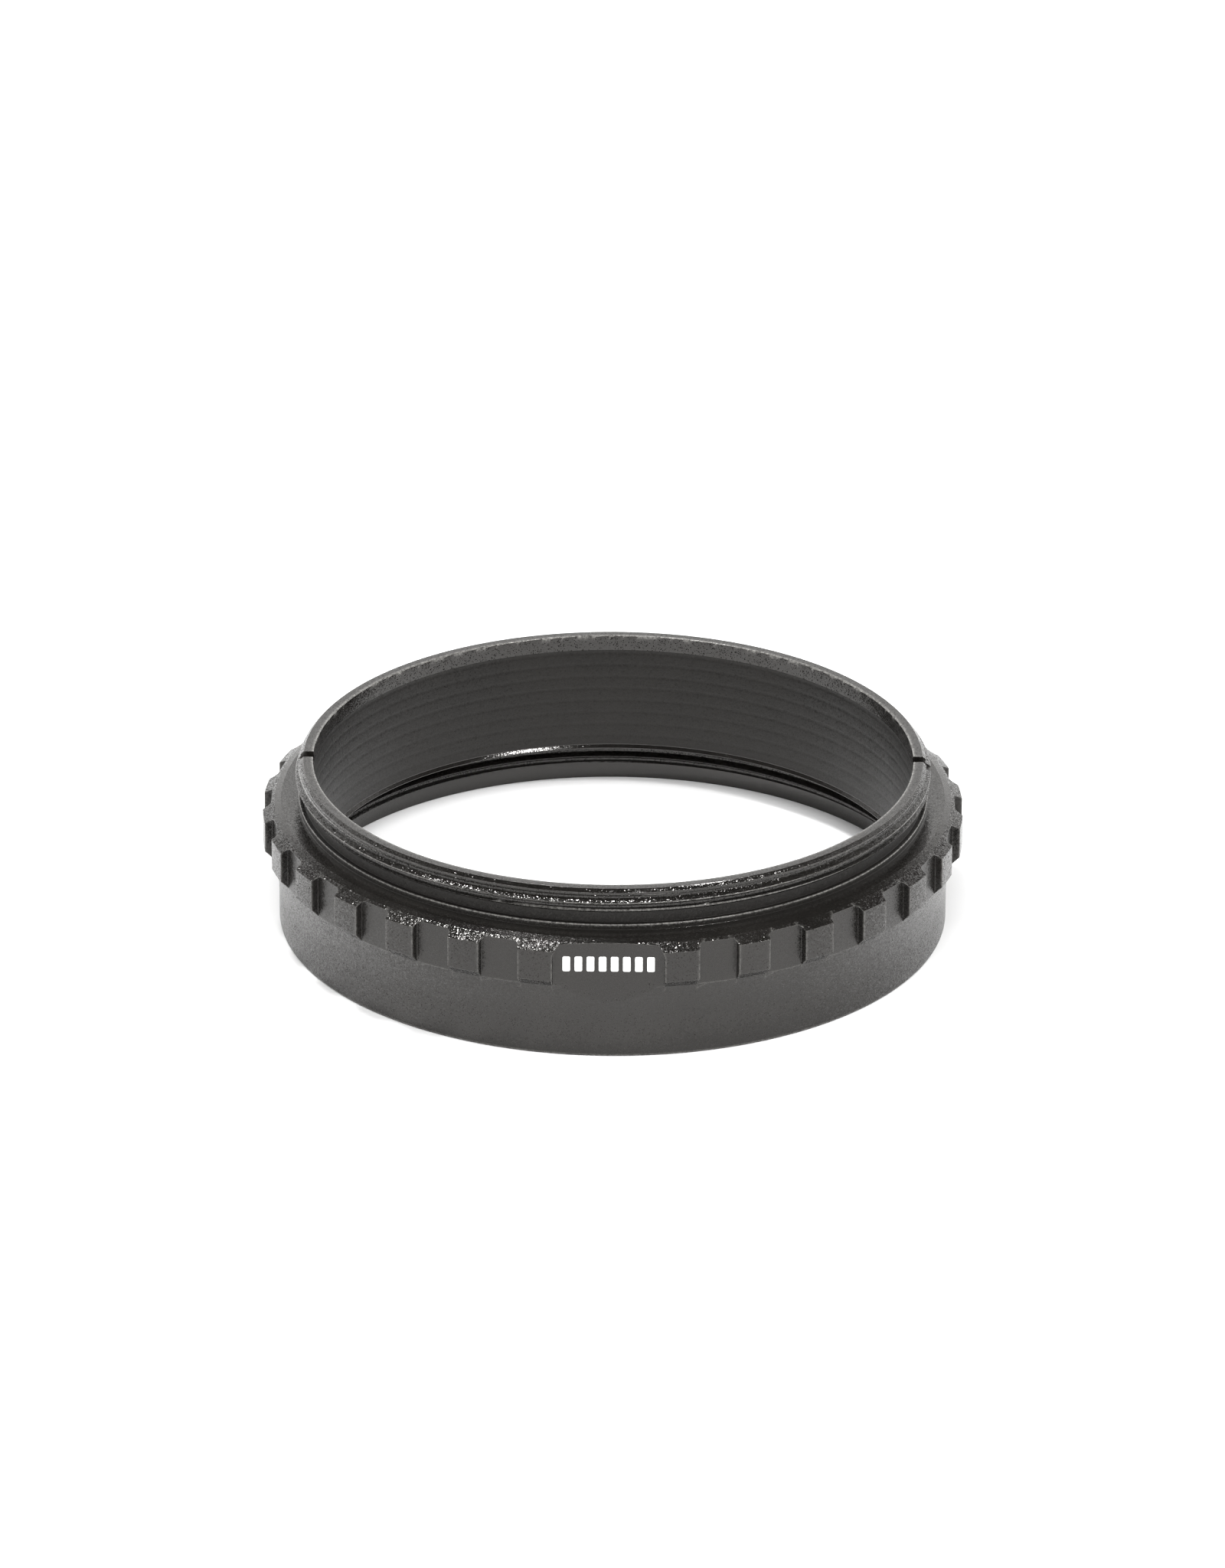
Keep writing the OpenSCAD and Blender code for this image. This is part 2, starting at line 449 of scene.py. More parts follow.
def relief_rows():
    """Up the relief groove between the collar and the thread."""
    return rounded([
        (COLLAR_R, COLLAR_Z, 0),
        (RELIEF_R, COLLAR_Z, SMALL_EDGE),
        (RELIEF_R, THREAD_Z, SOFT_EDGE),
        (PILOT_R, THREAD_Z, 0),
    ])[1:-1]


def top_rows():
    """The narrow face on top of the neck, with both its edges broken."""
    return rounded([
        (NECK_RIM_R + TOP_EDGE, TOP_EDGE_Z, 0),
        (NECK_RIM_R, HEIGHT, FINE_EDGE),
        (BORE_R, HEIGHT, BORE_EDGE),
        (BORE_R, BORE_END_Z, 0),
    ])[1:-1]


def bore_rows():
    """Down the bore with its baffle grooves, which have sloping sides."""
    rows = []
    for i in reversed(range(GROOVE_COUNT)):
        z = GROOVE_Z + i * GROOVE_PITCH
        for up, out in ((1, 0), (0.5, 0.5), (0, 1), (-0.5, 0.5), (-1, 0)):
            rows.append((BORE_R + out * GROOVE_DEPTH, z + up * GROOVE_HALF_W))
    rows.append((BORE_R, BORE_END_Z))
    return np.array(rows)


def lip_rows():
    """In along the sloping lip at the foot of the bore, over its edge and onto the shoulder."""
    return rounded([
        (BORE_R, BORE_END_Z, 0),
        (BORE_R, LIP_Z + LIP, FINE_EDGE),
        (BORE_R - LIP, LIP_Z, FINE_EDGE),
        (BORE_R - LIP, SOCKET_DEPTH, 0),
    ])[1:]


def counterbore_rows():
    """Out along the step below the female thread, then down the counterbore."""
    return rounded([
        (SOCKET_R, COUNTERBORE_DEPTH, 0),
        (COUNTERBORE_R, COUNTERBORE_DEPTH, EDGE),
        (COUNTERBORE_R, 0.0, 0),
    ])[1:-1]


def ring_column(cut, column):
    """One closed loop of points round the ring's section, as angle, radius, height, finish and helix.

    The helix is 1 in the male thread, -1 in the female one, whose rows run downwards, and 0 elsewhere.
    """
    fixed_angle, _ = cut.place(column, np.array([SKIRT_R]), np.array([0.0]))
    upper_angle, _ = cut.place(column, np.array([RIM_R]), np.array([cut.top_z]))
    fixed_angle, upper_angle = cut.centre + fixed_angle[0], cut.centre + upper_angle[0]

    outer_z = np.sort(np.concatenate([BASE_LEVELS, cut.crease_levels(column)]))
    outer_blank_r = np.interp(outer_z, OUTER[:, 1], OUTER[:, 0])
    outer_angle, outer_r = cut.place(column, outer_blank_r, outer_z)

    parts = []

    def add(r, z, angle, finish, helix=0):
        parts.append(np.stack([0 * r + angle, r, z, 0 * r + finish, 0 * r + helix], axis=1))

    add(*bottom_rows().T, fixed_angle, TURNED)
    outer_finish = np.where(outer_blank_r - outer_r > MILLED_DEPTH, MILLED, BLASTED)
    add(outer_r, outer_z, cut.centre + outer_angle, outer_finish)
    add(*seat_rows().T, upper_angle, TURNED)
    add(*collar_rows().T, fixed_angle, TURNED)
    add(*relief_rows().T, fixed_angle, BORED)
    add(*male_thread(fixed_angle), fixed_angle, THREADED, 1)
    add(*top_rows().T, fixed_angle, TURNED)
    add(*bore_rows().T, fixed_angle, BORED)
    add(*lip_rows().T, fixed_angle, TURNED)
    add(*female_thread(fixed_angle), fixed_angle, THREADED, -1)
    add(*counterbore_rows().T, fixed_angle, BORED)
    return np.concatenate(parts)


def ring_loops():
    """Every column of the ring, as an array of columns x rows x (angle, radius, height, finish, helix)."""
    return np.array([ring_column(cut, column) for cut in sectors() for column in cut.columns()])


def ring_faces(loops):
    """Vertices in metres, faces and finishes of the ring. Rows that meet in one point are welded."""
    columns, rows = loops.shape[:2]
    angle, r, z = loops[..., 0], loops[..., 1], loops[..., 2]
    points = np.stack([r * np.sin(angle), -r * np.cos(angle), z], axis=-1) * MM
    keys = np.round(points.reshape(-1, 3) / WELD).astype(np.int64)
    _, first, where = np.unique(keys, axis=0, return_index=True, return_inverse=True)
    where = where.reshape(columns, rows)
    helix = loops[0, :, 4]
    finish = loops[..., 3].astype(int)

    # Where the last column meets the first, each helix has risen by one turn.
    closing = np.arange(rows)
    for sign in (1, -1):
        zone = np.flatnonzero(helix == sign)
        closing[zone] = np.clip(zone + sign * ROWS_PER_TURN, zone[0], zone[-1])

    faces, finishes = [], []
    for c in range(columns):
        right = where[c + 1] if c + 1 < columns else where[0][closing]
        right_full = where[(c + 1) % columns]
        for k in range(rows):
            up = (k + 1) % rows
            same_zone = helix[k] != 0 and helix[k] == helix[up]
            a, b = (right[k], right[up]) if same_zone else (right_full[k], right_full[up])
            loop = [where[c][k], a, b, where[c][up]]
            face = [v for i, v in enumerate(loop) if v != loop[i - 1]]
            if len(face) > 2 and len(set(face)) == len(face):
                faces.append(face)
                beside = (c + 1) % columns
                finishes.append(face_finish([finish[i, j] for i in (c, beside) for j in (k, up)]))
    return points.reshape(-1, 3)[first], faces, finishes


def new_object(name, vertices, faces, materials, finishes=None):
    """A mesh object in the scene from plain lists."""
    mesh = bpy.data.meshes.new(name)
    mesh.from_pydata([tuple(v) for v in vertices], [], faces)
    for m in materials:
        mesh.materials.append(m)
    if finishes is not None:
        mesh.polygons.foreach_set("material_index", finishes)
    mesh.update()
    obj = bpy.data.objects.new(name, mesh)
    bpy.context.scene.collection.objects.link(obj)
    return obj


def box_object(name, low, high, materials):
    """A box between two corners given in millimetres."""
    x, y, z = [(a * MM, b * MM) for a, b in zip(low, high)]
    vertices = [(x[i], y[j], z[k]) for k in (0, 1) for j in (0, 1) for i in (0, 1)]
    faces = [(0, 2, 3, 1), (4, 5, 7, 6), (0, 1, 5, 4), (2, 6, 7, 3), (0, 4, 6, 2), (1, 3, 7, 5)]
    return new_object(name, vertices, faces, materials)


def apply_modifiers(obj):
    """Turns what the modifiers show into the object's own mesh."""
    depsgraph = bpy.context.evaluated_depsgraph_get()
    mesh = bpy.data.meshes.new_from_object(obj.evaluated_get(depsgraph))
    obj.modifiers.clear()
    obj.data = mesh


def cut_spanner_slots(obj, material):
    """Cuts the slot right across the top of the neck, which leaves one slot on each side."""
    low = (-LUG_R, -SLOT_W / 2, HEIGHT - SLOT_DEPTH)
    high = (LUG_R, SLOT_W / 2, HEIGHT + 1)
    cutter = box_object("slot_cutter", low, high, [material])
    boolean = obj.modifiers.new("slots", "BOOLEAN")
    boolean.operation = "DIFFERENCE"
    boolean.solver = "EXACT"
    boolean.material_mode = "TRANSFER"
    boolean.object = cutter
    apply_modifiers(obj)
    bpy.data.objects.remove(cutter)


def read(items, name, width=1, kind=float):
    """One property of all a mesh's vertices, corners or faces, as an array."""
    values = np.empty(len(items) * width, kind)
    items.foreach_get(name, values)
    return values.reshape(-1, width) if width > 1 else values


# A face belongs to a turned surface if its normal leans less than this out of the plane through the axis.
TURNED_LEAN = 0.1
# Normals are not averaged over edges with a sharper turn than this.
HARD_EDGE = math.radians(34)
# Name of the edge wear and painted edge highlight stored in the mesh, the turn at which an edge starts to
# take them, and how soon it takes them fully.
EDGE_WEAR_AND_HIGHLIGHT = "edge_wear"
WEAR_AND_HIGHLIGHT_FROM = math.radians(12)
WEAR_AND_HIGHLIGHT_OVER = math.radians(3)
# The rounded edge round the counterbore's mouth reaches this far out and gets neither wear nor painted edge
# highlight.
PLAIN_EDGE_REACH = 0.1


def surface_normals(mesh):
    """For each face corner, the true normal of its face there: on a turned face it turns with the corner."""
    corner_vertex = read(mesh.loops, "vertex_index", kind=np.int32)
    corner_face = np.repeat(np.arange(len(mesh.polygons)), read(mesh.polygons, "loop_total", kind=np.int32))
    face_normal = read(mesh.polygons, "normal", 3)
    outward = read(mesh.polygons, "center", 3)[:, :2]
    outward /= np.linalg.norm(outward, axis=1)[:, None]
    along = (face_normal[:, :2] * outward).sum(axis=1)
    across = face_normal[:, 0] * outward[:, 1] - face_normal[:, 1] * outward[:, 0]
    milled = read(mesh.polygons, "material_index", kind=np.int32) == MILLED
    turned = ~milled & (np.abs(across) < TURNED_LEAN)

    point_outward = read(mesh.vertices, "co", 3)[:, :2]
    point_outward /= np.linalg.norm(point_outward, axis=1)[:, None]
    normal = face_normal[corner_face]
    on_turned = turned[corner_face]
    lateral = point_outward[corner_vertex] * along[corner_face][:, None]
    normal[on_turned, :2] = lateral[on_turned]
    return corner_vertex, corner_face, normal / np.linalg.norm(normal, axis=1)[:, None]


def smooth_normals(mesh):
    """Averages the normals that meet in a point by face area, but not over hard edges."""
    corner_vertex, corner_face, normal = surface_normals(mesh)
    area = read(mesh.polygons, "area")[corner_face]
    order = np.argsort(corner_vertex, kind="stable")
    ordered = corner_vertex[order]
    start = np.searchsorted(ordered, ordered)
    count = np.searchsorted(ordered, ordered, side="right") - start
    total = np.zeros_like(normal)
    for step in range(count.max()):
        other = order[start + (np.arange(len(order)) - start + step) % count]
        close = (normal[order] * normal[other]).sum(axis=1) > math.cos(HARD_EDGE)
        weight = area[other] * close * (step < count)
        total[order] += normal[other] * weight[:, None]
    total /= np.linalg.norm(total, axis=1)[:, None]
    mesh.polygons.foreach_set("use_smooth", [True] * len(mesh.polygons))
    mesh.normals_split_custom_set(total.tolist())


def mark_edges(mesh):
    """Stores at each vertex how worn it is, which also paints a highlight along the edge: fully on sharp
    edges outside, not at all inside the ring.
    """
    normal = read(mesh.polygons, "normal", 3)
    centre = read(mesh.polygons, "center", 3)
    corner_edge = read(mesh.loops, "edge_index", kind=np.int32)
    corner_face = np.repeat(np.arange(len(mesh.polygons)), read(mesh.polygons, "loop_total", kind=np.int32))
    order = np.argsort(corner_edge, kind="stable")
    one, other = corner_face[order[0::2]], corner_face[order[1::2]]
    turn = np.arccos(np.clip((normal[one] * normal[other]).sum(axis=1), -1, 1))
    outwards = ((centre[other] - centre[one]) * (normal[one] - normal[other])).sum(axis=1) < 0
    sharpness = np.clip((turn - WEAR_AND_HIGHLIGHT_FROM) / WEAR_AND_HIGHLIGHT_OVER, 0, 1) * outwards
    ends = read(mesh.edges, "vertices", 2, np.int32)
    # Pale edge mark: partly wear, partly a painted highlight along the outward sharp edges.
    wear_and_highlight = np.zeros(len(mesh.vertices))
    np.maximum.at(wear_and_highlight, ends[:, 0], sharpness)
    np.maximum.at(wear_and_highlight, ends[:, 1], sharpness)
    place = read(mesh.vertices, "co", 3) / MM
    inside_r = np.where(place[:, 2] < SOCKET_DEPTH, COUNTERBORE_R + PLAIN_EDGE_REACH, BORE_R)
    wear_and_highlight *= np.hypot(place[:, 0], place[:, 1]) > inside_r
    mesh.attributes.new(EDGE_WEAR_AND_HIGHLIGHT, "FLOAT", "POINT").data.foreach_set("value", wear_and_highlight)


def build_ring(materials):
    """The whole ring as one closed mesh, with a material for each finish."""
    vertices, faces, finishes = ring_faces(ring_loops())
    ring = new_object("extension_ring", vertices, faces, materials, finishes)
    cut_spanner_slots(ring, materials[MILLED])
    mark_edges(ring.data)
    smooth_normals(ring.data)
    return ring


# ---------------------------------------------------------------- label bars

BAR_CORNER_R = 0.12
BAR_CORNER_STEPS = 5
# How far the bars' backs lie inside the metal, and the depth and width of the bevel round their fronts.
INK_SUNK = 0.01
INK_BEVEL_DEPTH = 0.012
INK_BEVEL_W = 0.015


def bar_outline(centre_x, centre_z, half_w, half_h):
    """Points of a rectangle with rounded corners in x and z, anticlockwise from its right side."""
    points = []
    for quarter, (side_x, side_z) in enumerate(((1, 1), (-1, 1), (-1, -1), (1, -1))):
        for k in range(BAR_CORNER_STEPS + 1):
            angle = math.pi / 2 * (quarter + k / BAR_CORNER_STEPS)
            x = centre_x + side_x * (half_w - BAR_CORNER_R) + BAR_CORNER_R * math.cos(angle)
            z = centre_z + side_z * (half_h - BAR_CORNER_R) + BAR_CORNER_R * math.sin(angle)
            points.append((x, z))
    return points


def build_marking(material):
    """A row of plain printed bars on the label flat, each a thin slab with rounded corners."""
    low, high = [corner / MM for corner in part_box("white_marking")]
    spacing = (high.x - low.x) / (BAR_COUNT - 1 + BAR_SHARE)
    bar_w = spacing * BAR_SHARE
    centre_z = (low.z + high.z) / 2
    # The layers from back to front, as (depth, size).
    layers = ((high.y + INK_SUNK, 1), (low.y + INK_BEVEL_DEPTH, 1), (low.y, 1 - INK_BEVEL_W / bar_w))
    vertices, faces = [], []
    for i in range(BAR_COUNT):
        centre_x = low.x + bar_w / 2 + i * spacing
        outline = bar_outline(centre_x, centre_z, bar_w / 2, (high.z - low.z) / 2)
        count = len(outline)
        start = len(vertices)
        for y, size in layers:
            for x, z in outline:
                across = centre_x + (x - centre_x) * size
                up = centre_z + (z - centre_z) * size
                vertices.append((across * MM, y * MM, up * MM))
        for layer in (0, 1):
            for k in range(count):
                a = start + layer * count + k
                b = start + layer * count + (k + 1) % count
                faces.append((a, b, b + count, a + count))
        faces.append([start + k for k in reversed(range(count))])
        faces.append([start + 2 * count + k for k in range(count)])
    return new_object("label_marking", vertices, faces, [material])


# ---------------------------------------------------------------- materials

# Refractive index of the dyed oxide layer, which sets how strongly each finish reflects.
BLASTED_IOR = 1.53
CUT_IOR = 1.65
THREAD_IOR = 1.55
BORE_IOR = 1.42
BLACK = (0.0062, 0.0056, 0.0050)
# Pale colour of the outer edges: worn black, and also a painted highlight along them.
WEAR_AND_HIGHLIGHT_COLOUR = (0.42, 0.41, 0.39, 1)
SPECK_COLOUR = (0.7, 0.7, 0.68, 1)
# Sizes of the features in the finish, in millimetres.
BLOTCH_SIZE = 6.0
GRAIN_SIZE = 0.12
WEAR_AND_HIGHLIGHT_SIZE = 0.25
TOOL_LINE_SIZE = 0.05
DUST_SPACING = 2.2
SPECK_SIZE = 0.14
# This share of the grain's facets lean over further than the others, by this factor.
FLAKE_SHARE = 0.12
FLAKE_TILT = 2.2
# A higher power keeps the wear and painted edge highlight closer to its edge.
WEAR_AND_HIGHLIGHT_POWER = 8
LEAST_ROUGHNESS = 0.06
# Most of a noise's values lie in this range.
NOISE_RANGE = (0.3, 0.7)


class Nodes:
    """A short way to write a material's node tree."""

    def __init__(self, name):
        self.material = bpy.data.materials.new(name)
        self.material.use_nodes = True
        self.tree = self.material.node_tree
        self.surface = self.tree.nodes["Principled BSDF"]
        self.position = self.tree.nodes.new("ShaderNodeTexCoord").outputs["Object"]

    def put(self, value, socket):
        """Links an output to an input, or sets the input's value."""
        if isinstance(value, bpy.types.NodeSocket):
            self.tree.links.new(value, socket)
        else:
            socket.default_value = value

    def math(self, operation, a, b=0.0, clamp=False):
        """The result of an operation on one or two numbers."""
        node = self.tree.nodes.new("ShaderNodeMath")
        node.operation = operation
        node.use_clamp = clamp
        self.put(a, node.inputs[0])
        self.put(b, node.inputs[1])
        return node.outputs[0]

    def vector(self, operation, a, b=None, scale=None):
        """The result of an operation on one or two vectors, or on a vector and a number."""
        node = self.tree.nodes.new("ShaderNodeVectorMath")
        node.operation = operation
        self.put(a, node.inputs[0])
        if b is not None:
            self.put(b, node.inputs[1])
        if scale is not None:
            self.put(scale, node.inputs["Scale"])
        return node.outputs["Vector"]

    def channel(self, colour, index):
        """One of a colour's three channels."""
        node = self.tree.nodes.new("ShaderNodeSeparateColor")
        self.put(colour, node.inputs[0])
        return node.outputs[index]

    def surface_normal(self):
        """The shaded surface's own normal."""
        return self.tree.nodes.new("ShaderNodeNewGeometry").outputs["Normal"]

    def remap(self, value, from_low, from_high, to_low, to_high):
        """Carries a value over from one range to another, and holds it within that."""
        node = self.tree.nodes.new("ShaderNodeMapRange")
        for socket, v in zip(node.inputs[:5], (value, from_low, from_high, to_low, to_high)):
            self.put(v, socket)
        return node.outputs[0]

    def noise(self, size_mm, detail, where=None, roughness=0.5):
        """Soft noise from 0 to 1, with features of about a size, over the object's own space or another."""
        node = self.tree.nodes.new("ShaderNodeTexNoise")
        node.inputs["Scale"].default_value = 1 / (size_mm * MM)
        node.inputs["Detail"].default_value = detail
        node.inputs["Roughness"].default_value = roughness
        self.put(where or self.position, node.inputs["Vector"])
        return node.outputs["Fac"]

    def cells(self, size_mm, output="Color"):
        """Space split into cells of about a size: a random colour for each, or the distance to its middle."""
        node = self.tree.nodes.new("ShaderNodeTexVoronoi")
        node.inputs["Scale"].default_value = 1 / (size_mm * MM)
        self.put(self.position, node.inputs["Vector"])
        return node.outputs[output]

    def mix(self, share, a, b):
        """Colour a where the share is 0, and colour b where it is 1."""
        node = self.tree.nodes.new("ShaderNodeMix")
        node.data_type = "RGBA"
        self.put(share, node.inputs["Factor"])
        self.put(a, node.inputs["A"])
        self.put(b, node.inputs["B"])
        return node.outputs["Result"]

    def bump(self, height, strength, depth_mm, normal=None):
        """The surface's normal, or another one, tilted as if the surface had the given height."""
        node = self.tree.nodes.new("ShaderNodeBump")
        node.inputs["Strength"].default_value = strength
        node.inputs["Distance"].default_value = depth_mm * MM
        self.put(height, node.inputs["Height"])
        if normal is not None:
            self.put(normal, node.inputs["Normal"])
        return node.outputs["Normal"]


def turned_lines(nodes):
    """Fine tool lines that run round the axis: noise over radius and height only."""
    split = nodes.tree.nodes.new("ShaderNodeSeparateXYZ")
    nodes.put(nodes.position, split.inputs[0])
    x, y, z = split.outputs
    squares = nodes.math("ADD", nodes.math("MULTIPLY", x, x), nodes.math("MULTIPLY", y, y))
    join = nodes.tree.nodes.new("ShaderNodeCombineXYZ")
    nodes.put(nodes.math("SQRT", squares), join.inputs[0])
    nodes.put(z, join.inputs[1])
    return nodes.noise(TOOL_LINE_SIZE, detail=3, where=join.outputs[0])


def dust(nodes, share):
    """Mask of a few pale specks: this share of the cells hold one."""
    near = nodes.cells(DUST_SPACING, "Distance")
    cell = nodes.cells(DUST_SPACING)
    has_speck = nodes.math("LESS_THAN", nodes.channel(cell, 0), share)
    size = nodes.math("MULTIPLY", nodes.channel(cell, 1), SPECK_SIZE / DUST_SPACING)
    inside = nodes.math("LESS_THAN", near, size)
    return nodes.math("MULTIPLY", has_speck, inside)


def facets(nodes, size_mm, tilt):
    """Normal of a blasted surface seen up close: each tiny facet is tilted its own way, a few far more."""
    cell = nodes.cells(size_mm)
    shift = nodes.vector("SUBTRACT", cell, (0.5, 0.5, 0.5))
    flake = nodes.math("GREATER_THAN", nodes.channel(cell, 2), 1 - FLAKE_SHARE)
    reach = nodes.remap(flake, 0, 1, tilt, tilt * FLAKE_TILT)
    tilted = nodes.vector("ADD", nodes.surface_normal(), nodes.vector("SCALE", shift, scale=reach))
    return nodes.vector("NORMALIZE", tilted)


def worn_and_highlit_edges(nodes):
    """Mask of the outer edges, broken up by noise, where the black has worn thin and where a highlight is
    painted along them.
    """
    edge = nodes.tree.nodes.new("ShaderNodeAttribute")
    edge.attribute_name = EDGE_WEAR_AND_HIGHLIGHT
    patchy = nodes.remap(nodes.noise(WEAR_AND_HIGHLIGHT_SIZE, detail=4, roughness=0.7), 0.35, 0.7, 0.1, 1.0)
    narrow = nodes.math("POWER", edge.outputs["Fac"], WEAR_AND_HIGHLIGHT_POWER)
    return nodes.math("MULTIPLY", narrow, patchy, clamp=True)


def shade(factor):
    """The dye's black, darker or paler by a factor."""
    return [c * factor for c in BLACK] + [1]


def anodised(name, ior, roughness, facet, tilt, wear_and_highlight=0.0, lines=0.0, specks=0.0):
    """Black anodised aluminium: facets of a size in mm are its grain, and lines are the tool's marks."""
    nodes = Nodes(name)
    surface = nodes.surface
    surface.inputs["IOR"].default_value = ior
    surface.inputs["Specular Tint"].default_value = (1.0, 0.975, 0.95, 1)

    blotch = nodes.noise(BLOTCH_SIZE, detail=3)
    grain = nodes.noise(GRAIN_SIZE, detail=2, roughness=0.6)
    colour = nodes.mix(nodes.remap(blotch, *NOISE_RANGE, 0, 1), shade(0.7), shade(1.3))
    colour = nodes.mix(nodes.remap(grain, 0.5, 0.8, 0, 0.6), colour, shade(2.5))

    rough = nodes.remap(blotch, *NOISE_RANGE, roughness - 0.03, roughness + 0.03)
    rough = nodes.math("ADD", rough, nodes.remap(grain, *NOISE_RANGE, -0.05, 0.05))
    normal = nodes.bump(grain, 0.3, 0.01, facets(nodes, facet, tilt))

    if lines:
        line = turned_lines(nodes)
        normal = nodes.bump(line, lines, 0.006, normal)
        rough = nodes.math("ADD", rough, nodes.remap(line, *NOISE_RANGE, -0.04, 0.05))
    # Pale edges: wear, and a painted highlight along them.
    worn_and_highlit = nodes.math("MULTIPLY", worn_and_highlit_edges(nodes), wear_and_highlight)
    colour = nodes.mix(worn_and_highlit, colour, WEAR_AND_HIGHLIGHT_COLOUR)
    if specks:
        mask = dust(nodes, specks)
        colour = nodes.mix(mask, colour, SPECK_COLOUR)
        rough = nodes.math("ADD", rough, nodes.math("MULTIPLY", mask, 0.4))

    nodes.put(colour, surface.inputs["Base Color"])
    nodes.put(nodes.math("MAXIMUM", rough, LEAST_ROUGHNESS), surface.inputs["Roughness"])
    nodes.put(normal, surface.inputs["Normal"])
    return nodes.material


def ring_materials():
    """The ring's five finishes, in the order of the mesh's material indices."""
    return [
        anodised("blasted_anodising", BLASTED_IOR, roughness=0.22, facet=0.08, tilt=0.34, wear_and_highlight=0.2,
                 specks=0.05),
        anodised("milled_anodising", BLASTED_IOR, roughness=0.3, facet=0.09, tilt=0.15, wear_and_highlight=0.2),
        anodised("turned_anodising", CUT_IOR, roughness=0.15, facet=0.07, tilt=0.1, wear_and_highlight=0.6, lines=0.12),
        anodised("thread_anodising", THREAD_IOR, roughness=0.14, facet=0.06, tilt=0.4, wear_and_highlight=0.4),
        anodised("bore_anodising", BORE_IOR, roughness=0.42, facet=0.09, tilt=0.1, lines=0.1, specks=0.05),
    ]


def ink_material():
    """White screen-printed ink, slightly uneven where it lies on the blasted grain."""
    nodes = Nodes("white_ink")
    mottle = nodes.remap(nodes.noise(0.35, detail=3), *NOISE_RANGE, 0, 1)
    grain = nodes.noise(GRAIN_SIZE, detail=2)
    colour = nodes.mix(mottle, (0.72, 0.72, 0.71, 1), (0.88, 0.88, 0.87, 1))
    nodes.put(colour, nodes.surface.inputs["Base Color"])
    nodes.put(nodes.remap(grain, *NOISE_RANGE, 0.45, 0.65), nodes.surface.inputs["Roughness"])
    nodes.put(nodes.bump(grain, 0.3, 0.01), nodes.surface.inputs["Normal"])
    return nodes.material


def floor_material():
    """Matt white table top with a barely visible unevenness."""
    nodes = Nodes("white_floor")
    mottle = nodes.noise(40, detail=3)
    colour = nodes.mix(mottle, (0.86, 0.86, 0.86, 1), (0.88, 0.88, 0.88, 1))
    nodes.put(colour, nodes.surface.inputs["Base Color"])
    nodes.surface.inputs["Roughness"].default_value = 0.9
    nodes.surface.inputs["Specular IOR Level"].default_value = 0.1
    return nodes.material


# ---------------------------------------------------------------- studio

# Half the floor's width in metres.
FLOOR_HALF = 2.5
# The sweep fades into the ceiling between these heights, given as the sine of the elevation.
SWEEP_TOP = 0.4
CEILING_FOOT = 0.68
SWEEP_STRENGTH = 1.3
CEILING_STRENGTH = 0.07


def build_floor():
    """A square table top that the ring stands on."""
    z = cad_box[0].z
    vertices = [(x * FLOOR_HALF, y * FLOOR_HALF, z) for x, y in ((-1, -1), (1, -1), (1, 1), (-1, 1))]
    floor = new_object("floor", vertices, [(0, 1, 2, 3)], [floor_material()])


def build_world():
    """A white sweep all round that ends part way up, under a dim ceiling."""
    world = bpy.data.worlds.new("studio")
    world.use_nodes = True
    bpy.context.scene.world = world
    tree = world.node_tree
    background = tree.nodes["Background"]
    direction = tree.nodes.new("ShaderNodeTexCoord")
    split = tree.nodes.new("ShaderNodeSeparateXYZ")
    tree.links.new(direction.outputs["Generated"], split.inputs[0])
    fade = tree.nodes.new("ShaderNodeMapRange")
    fade.interpolation_type = "SMOOTHSTEP"
    for socket, value in zip(fade.inputs[1:5], (SWEEP_TOP, CEILING_FOOT, SWEEP_STRENGTH, CEILING_STRENGTH)):
        socket.default_value = value
    tree.links.new(split.outputs[2], fade.inputs[0])
    tree.links.new(fade.outputs[0], background.inputs["Strength"])
    background.inputs["Color"].default_value = (1.0, 0.995, 0.985, 1)


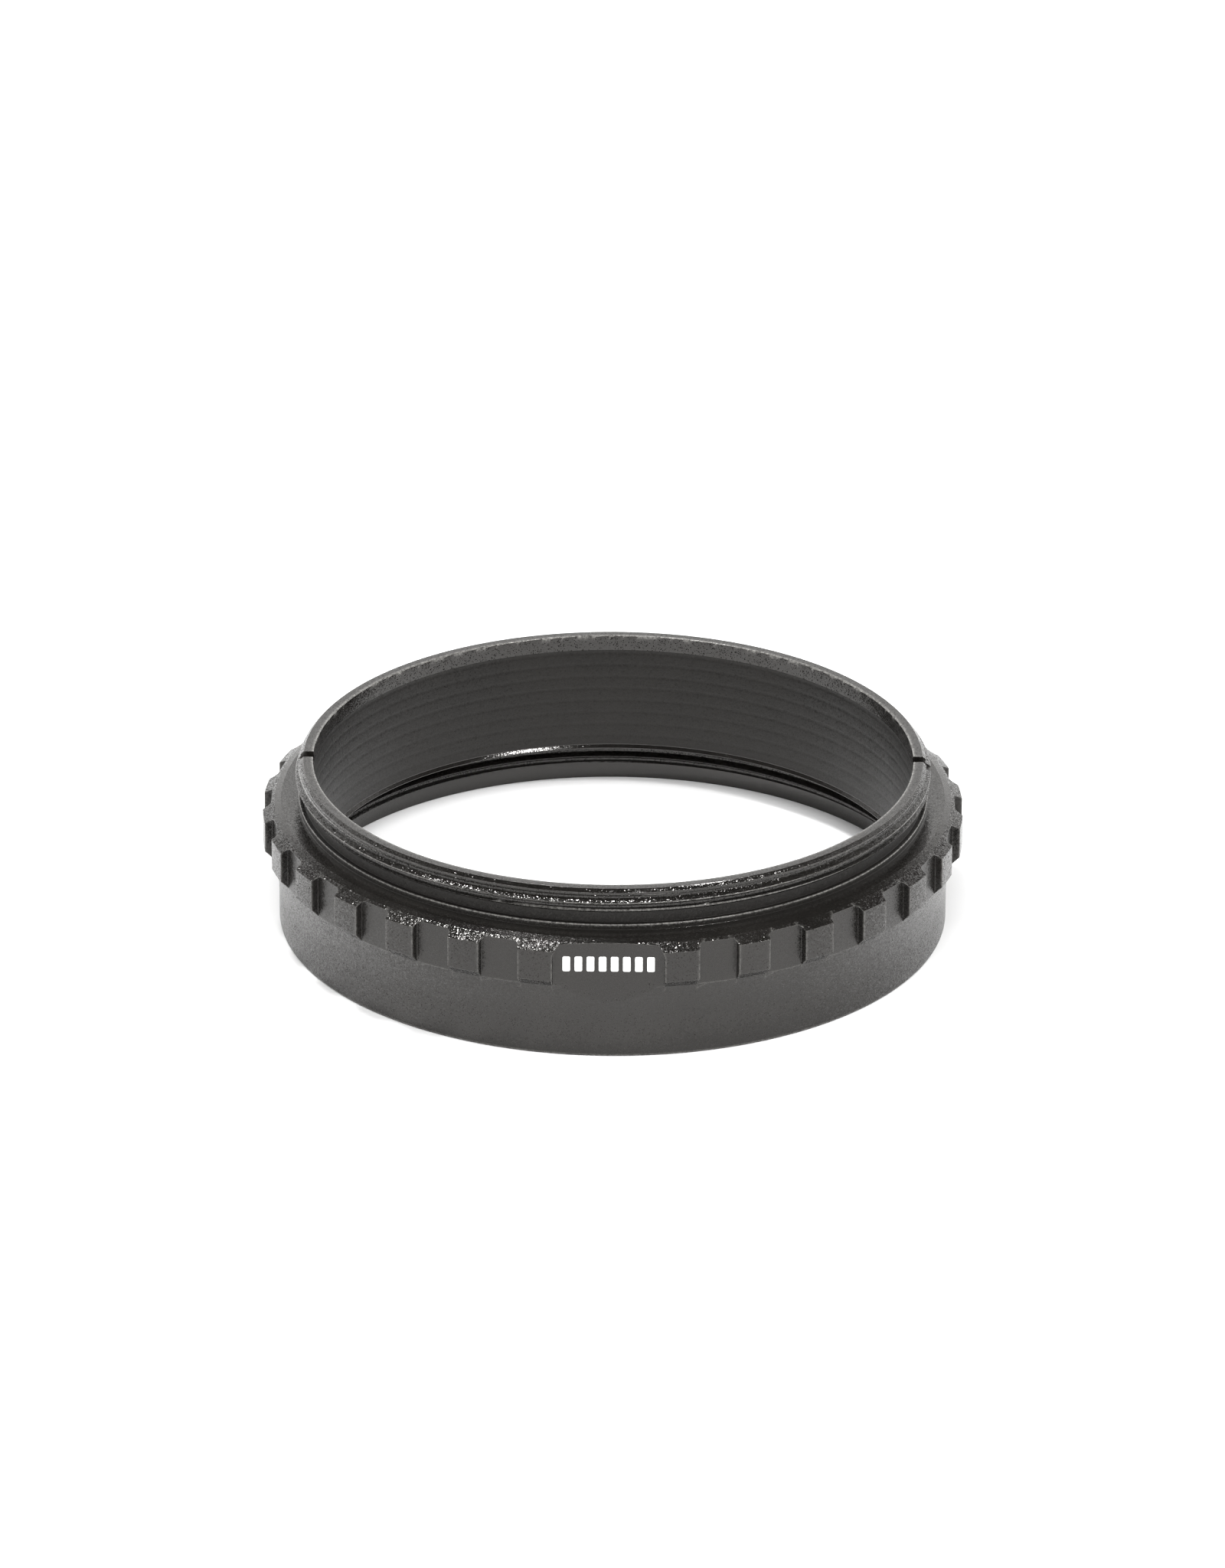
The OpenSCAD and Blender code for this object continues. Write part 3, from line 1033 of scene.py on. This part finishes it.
def add_softbox(name, direction, distance, size, power):
    """A square lamp at a distance along a direction, facing the ring. Distance and size are in metres."""
    light = bpy.data.lights.new(name, "AREA")
    light.size = size
    light.energy = power
    lamp = bpy.data.objects.new(name, light)
    towards = Vector(direction).normalized()
    lamp.location = towards * distance
    lamp.rotation_euler = towards.to_track_quat("Z", "Y").to_euler()
    bpy.context.scene.collection.objects.link(lamp)
    return lamp


def build_lights():
    """Two small lamps that glint in the metal, and a large one that lights the table but isn't mirrored."""
    add_softbox("key_lamp", (-0.22, 0.13, 0.96), distance=1.2, size=0.15, power=8)
    add_softbox("right_lamp", (0.38, -0.32, 0.87), distance=1.2, size=0.12, power=4)
    table_light = add_softbox("table_light", (0.1, -0.45, 0.89), distance=1.6, size=1.4, power=31)
    table_light.visible_glossy = False


def turn_towards(one, other, angle):
    """Two vectors at a right angle, both turned in their plane from the first towards the second."""
    return (one * math.cos(angle) + other * math.sin(angle),
            other * math.cos(angle) - one * math.sin(angle))


def build_camera():
    """A long lens about 0.8 m away that looks down on the ring at 25 degrees."""
    distance = 0.7866
    azimuth = math.radians(0.6)
    elevation = math.radians(25.33)
    roll = math.radians(0.25)
    tilt = math.radians(0.697)
    back = Vector((math.sin(azimuth) * math.cos(elevation), -math.cos(azimuth) * math.cos(elevation),
                   math.sin(elevation)))
    right = Vector((math.cos(azimuth), math.sin(azimuth), 0))
    up = back.cross(right)
    place = back * distance
    right, up = turn_towards(right, up, roll)
    up, back = turn_towards(up, back, tilt)
    data = bpy.data.cameras.new("camera")
    data.sensor_width = 36
    data.lens = 237.44
    data.clip_start = 0.01
    data.clip_end = 20
    camera = bpy.data.objects.new("camera", data)
    camera.matrix_world = Matrix((
        (right.x, up.x, back.x, place.x),
        (right.y, up.y, back.y, place.y),
        (right.z, up.z, back.z, place.z),
        (0, 0, 0, 1),
    ))
    bpy.context.scene.collection.objects.link(camera)
    bpy.context.scene.camera = camera


# ---------------------------------------------------------------- scene

ring = build_ring(ring_materials())
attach(ring, "root")
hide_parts("ring_body")

marking = build_marking(ink_material())
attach(marking, "root")
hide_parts("white_marking")

build_floor()
build_world()
build_lights()
build_camera()
bpy.context.scene.view_settings.view_transform = "Standard"
